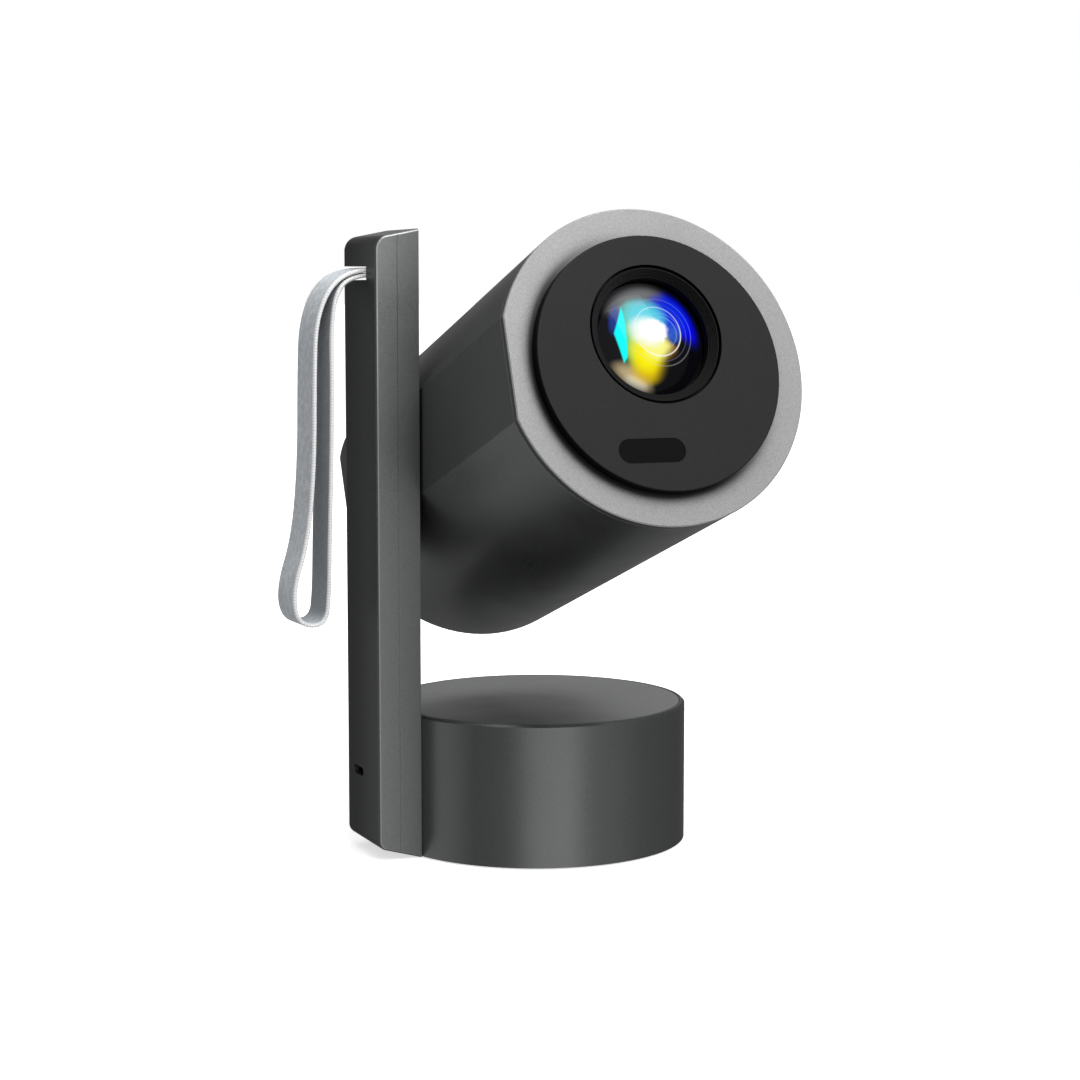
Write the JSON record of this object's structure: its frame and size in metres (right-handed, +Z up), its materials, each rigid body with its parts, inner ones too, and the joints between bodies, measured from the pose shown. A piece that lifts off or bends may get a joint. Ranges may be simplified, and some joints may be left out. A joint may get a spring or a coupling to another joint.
{
  "type": "home projector",
  "caption": "Portable home projector: a barrel-shaped body with a round lens face tilts on one upright arm, on a round weighted base, with a webbing wrist strap.",
  "frame": {"origin": "centre of the round base, on the plane of its underside", "axes": "+Z up; -Y is the way the lens looks when level; the arm stands on the -X side"},
  "size_m": [0.1293, 0.1671, 0.1952],
  "materials": {
    "body_dark": "dark grey anodised, fine bead blast",
    "base_top": "dark grey anodised, satin",
    "ring_light": "light grey bead-blasted",
    "front_plate": "dark grey, fine texture",
    "bezel_black": "black, matt",
    "window": "smoked, infrared clear",
    "lens_glass": "coated optical glass",
    "steel": "plain",
    "socket_dark": "black-plated socket",
    "brass": "machined",
    "rubber": "matt",
    "board": "solder mask",
    "cells": "sleeved cells",
    "sink": "extruded",
    "panel": "polariser film",
    "led": "phosphor and white board",
    "webbing": "woven grey webbing",
    "speaker": "paper cone and plastic frame",
    "harness": "wire bundle in a sleeve",
    "button": "satin"
  },
  "bodies": {
    "stand": {"base_shell": "body_dark", "base_top": "base_top", "base_bottom_plate": "bezel_black", "base_screws": "steel", "foot_ring": "rubber", "tripod_insert": "brass", "ballast_plate": "steel", "battery_cradle": "bezel_black", "battery_cells": "cells", "power_board": "board", "arm_outer_shell": "body_dark", "arm_inner_shell": "body_dark", "arm_bracket": "steel", "arm_screws": "steel", "hinge_cover": "body_dark", "charge_socket": "socket_dark", "port_board": "board", "wrist_strap": "webbing", "strap_anchor": "steel", "arm_harness": "harness", "hinge_shaft": "steel", "hinge_spacer": "steel", "friction_washer": "steel", "spring_washer": "steel", "hinge_nut": "steel"},
    "fan": {"fan_rotor": "bezel_black"},
    "button": {"power_button": "button"},
    "lens_group": {"lens_cell": "bezel_black", "front_lens": "lens_glass", "middle_lens": "lens_glass", "rear_lens": "lens_glass"},
    "focus_drive": {"focus_screw": "steel"},
    "head": {"button_board": "board", "condenser_lens": "lens_glass", "fan_frame": "bezel_black", "focus_motor": "bezel_black", "front_frame": "bezel_black", "front_plate": "front_plate", "front_ring": "ring_light", "front_screws": "steel", "hdmi_socket": "steel", "head_hinge_plate": "steel", "head_shell": "body_dark", "heat_sink": "sink", "hinge_bushing": "brass", "hinge_plate_screws": "steel", "io_board": "board", "lcd_panel": "panel", "led_module": "led", "lens_barrel": "bezel_black", "lens_bezel": "bezel_black", "light_engine_housing": "sink", "main_board": "board", "rear_cap": "bezel_black", "rear_cap_screws": "steel", "sensor_board": "board", "sensor_window": "window", "speaker": "speaker", "usb_socket": "steel"}
  },
  "joints": [
    {"name": "head_tilt", "type": "hinge", "parent": "stand", "child": "head", "pos_m": [0, 0, 0.1222], "axis": [-1, 0, 0], "range_deg": [-39, 90]},
    {"name": "fan_spin", "type": "hinge", "parent": "head", "child": "fan", "pos_m": [0, 0.02922, 0.11185], "axis": [0, -0.9426, 0.3338], "continuous": true},
    {"name": "power_press", "type": "slide", "parent": "head", "child": "button", "axis": [0, -0.9426, 0.3338], "range_m": [0, 0.0006], "stiffness_N_per_m": 400},
    {"name": "focus_slide", "type": "slide", "parent": "head", "child": "lens_group", "axis": [0, -0.9426, 0.3338], "range_m": [-0.0008, 0.0008]},
    {"name": "focus_turn", "type": "hinge", "parent": "head", "child": "focus_drive", "pos_m": [0.0225, -0.05194, 0.14929], "axis": [0, -0.9426, 0.3338], "range_deg": [-290, 290]}
  ],
  "couplings": [
    {"joint": "focus_turn", "follows": "focus_slide", "rad_per_m": 6283.2}
  ]
}
